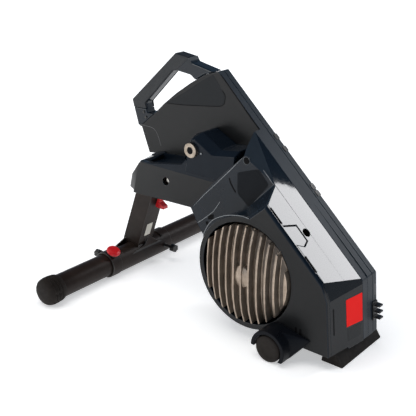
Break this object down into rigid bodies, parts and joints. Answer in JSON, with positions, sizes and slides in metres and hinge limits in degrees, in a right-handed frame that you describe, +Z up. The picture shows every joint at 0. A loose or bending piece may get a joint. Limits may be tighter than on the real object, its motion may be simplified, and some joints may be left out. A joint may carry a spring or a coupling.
{
  "type": "direct drive bicycle trainer",
  "caption": "Direct drive bicycle trainer with a folding front leg, tall belt case with handle, finned fluid unit, axle ends for the bike's rear dropouts and a transport roller.",
  "frame": {"origin": "on the floor, under the middle of the bounding box", "axes": "+X to the rear of the bike, +Y to the bike's drive side, +Z up"},
  "size_m": [0.6916, 0.59, 0.514],
  "materials": {
    "panel": "smooth dark grey moulded plastic, satin gloss",
    "gloss": "glossy blue black moulded plastic",
    "soft_grip": "fine grained soft grip",
    "cast_aluminium": "dark cast metal with machined edges",
    "dark_steel": "matt black powder coat",
    "bright_steel": "turned and plated",
    "machined": "machined",
    "rubber": "matt rubber",
    "black_plastic": "matt moulded plastic",
    "red_plastic": "satin red moulded plastic",
    "bronze": "cast and turned"
  },
  "bodies": {
    "root": {"belt_cover_near": "panel", "belt_cover_far": "gloss", "unit_cover_near": "panel", "unit_cover_rear": "gloss", "arm_cover": "panel", "arm_nose_far": "gloss", "handle_frame": "gloss", "handle_grip": "soft_grip", "finned_housing": "cast_aluminium", "back_housing": "cast_aluminium", "frame_plate_left": "dark_steel", "arm_plate_right": "dark_steel", "unit_plate_right": "dark_steel", "cross_bar": "dark_steel", "rear_foot": "rubber", "roller_hood": "panel", "roller_pin": "bright_steel", "rear_louvre": "black_plastic", "axle_tube": "machined", "axle_adapter_left": "bright_steel", "axle_adapter_right": "bright_steel", "hub_bearing_near": "machined", "hub_bearing_far": "machined", "freehub_bearing_near": "machined", "freehub_bearing_far": "machined", "unit_bearing_near": "machined", "unit_bearing_far": "machined", "shaft_seal": "rubber", "pivot_bolt": "bright_steel", "spacer_front": "dark_steel", "spacer_boss": "dark_steel", "spacer_unit_upper": "dark_steel", "spacer_unit_lower": "dark_steel", "idler_pin": "bright_steel", "belt": "rubber", "handle_screw_upper": "bright_steel", "handle_screw_lower": "bright_steel"},
    "hub": {"big_pulley": "cast_aluminium"},
    "freehub": {"freehub_body": "machined"},
    "rotor": {"unit_shaft": "machined", "small_pulley": "machined", "flywheel": "dark_steel", "impeller": "bronze"},
    "idler": {"idler_roller": "black_plastic"},
    "roller": {"roller_wheel": "rubber"},
    "leg": {"leg_bracket": "dark_steel", "plunger_collar": "black_plastic", "latch_pin": "bright_steel"},
    "tube": {"leg_tube": "dark_steel", "end_cap_near": "rubber", "end_cap_far": "rubber"},
    "plunger": {"plunger_knob": "red_plastic", "plunger_pin": "bright_steel"},
    "thumb_rear": {"thumb_knob_rear": "black_plastic", "thumb_shaft_rear": "bright_steel"},
    "thumb_front": {"thumb_knob_front": "black_plastic", "thumb_shaft_front": "bright_steel"},
    "latch": {"latch_lever": "red_plastic"}
  },
  "joints": [
    {"name": "rotor_spin", "type": "hinge", "parent": "root", "child": "rotor", "pos_m": [0.12595, -0.04, 0.142], "axis": [0, 1, 0], "continuous": true},
    {"name": "hub_spin", "type": "hinge", "parent": "root", "child": "hub", "pos_m": [-0.05805, 0.016, 0.34], "axis": [0, 1, 0], "continuous": true},
    {"name": "idler_spin", "type": "hinge", "parent": "root", "child": "idler", "pos_m": [0.10136, 0.01, 0.26738], "axis": [0, 1, 0], "continuous": true},
    {"name": "freehub_spin", "type": "hinge", "parent": "hub", "child": "freehub", "pos_m": [-0.05805, 0.045, 0.34], "axis": [0, 1, 0], "continuous": true},
    {"name": "roller_spin", "type": "hinge", "parent": "root", "child": "roller", "pos_m": [0.21195, -0.147, 0.0275], "axis": [0, 1, 0], "continuous": true},
    {"name": "leg_fold", "type": "hinge", "parent": "root", "child": "leg", "pos_m": [-0.13605, -0.0245, 0.253], "axis": [0, -1, 0], "range_deg": [0, 60]},
    {"name": "tube_slide", "type": "slide", "parent": "leg", "child": "tube", "axis": [0, 1, 0], "range_m": [-0.15, 0.13]},
    {"name": "plunger_pull", "type": "slide", "parent": "leg", "child": "plunger", "axis": [0.4226, 0, 0.9063], "range_m": [0, 0.01], "stiffness_N_per_m": 400},
    {"name": "thumb_rear_turn", "type": "hinge", "parent": "leg", "child": "thumb_rear", "pos_m": [-0.23542, 0.057, 0.031], "axis": [1, 0, 0], "range_deg": [0, 720]},
    {"name": "thumb_front_turn", "type": "hinge", "parent": "leg", "child": "thumb_front", "pos_m": [-0.32542, -0.077, 0.031], "axis": [1, 0, 0], "range_deg": [0, 720]},
    {"name": "latch_swing", "type": "hinge", "parent": "leg", "child": "latch", "pos_m": [-0.20712, 0.0065, 0.193], "axis": [0, -1, 0], "range_deg": [0, 10], "stiffness_Nm_per_rad": 1}
  ],
  "couplings": [
    {"joint": "hub_spin", "follows": "rotor_spin", "ratio": 0.14737},
    {"joint": "idler_spin", "follows": "rotor_spin", "ratio": -1}
  ]
}
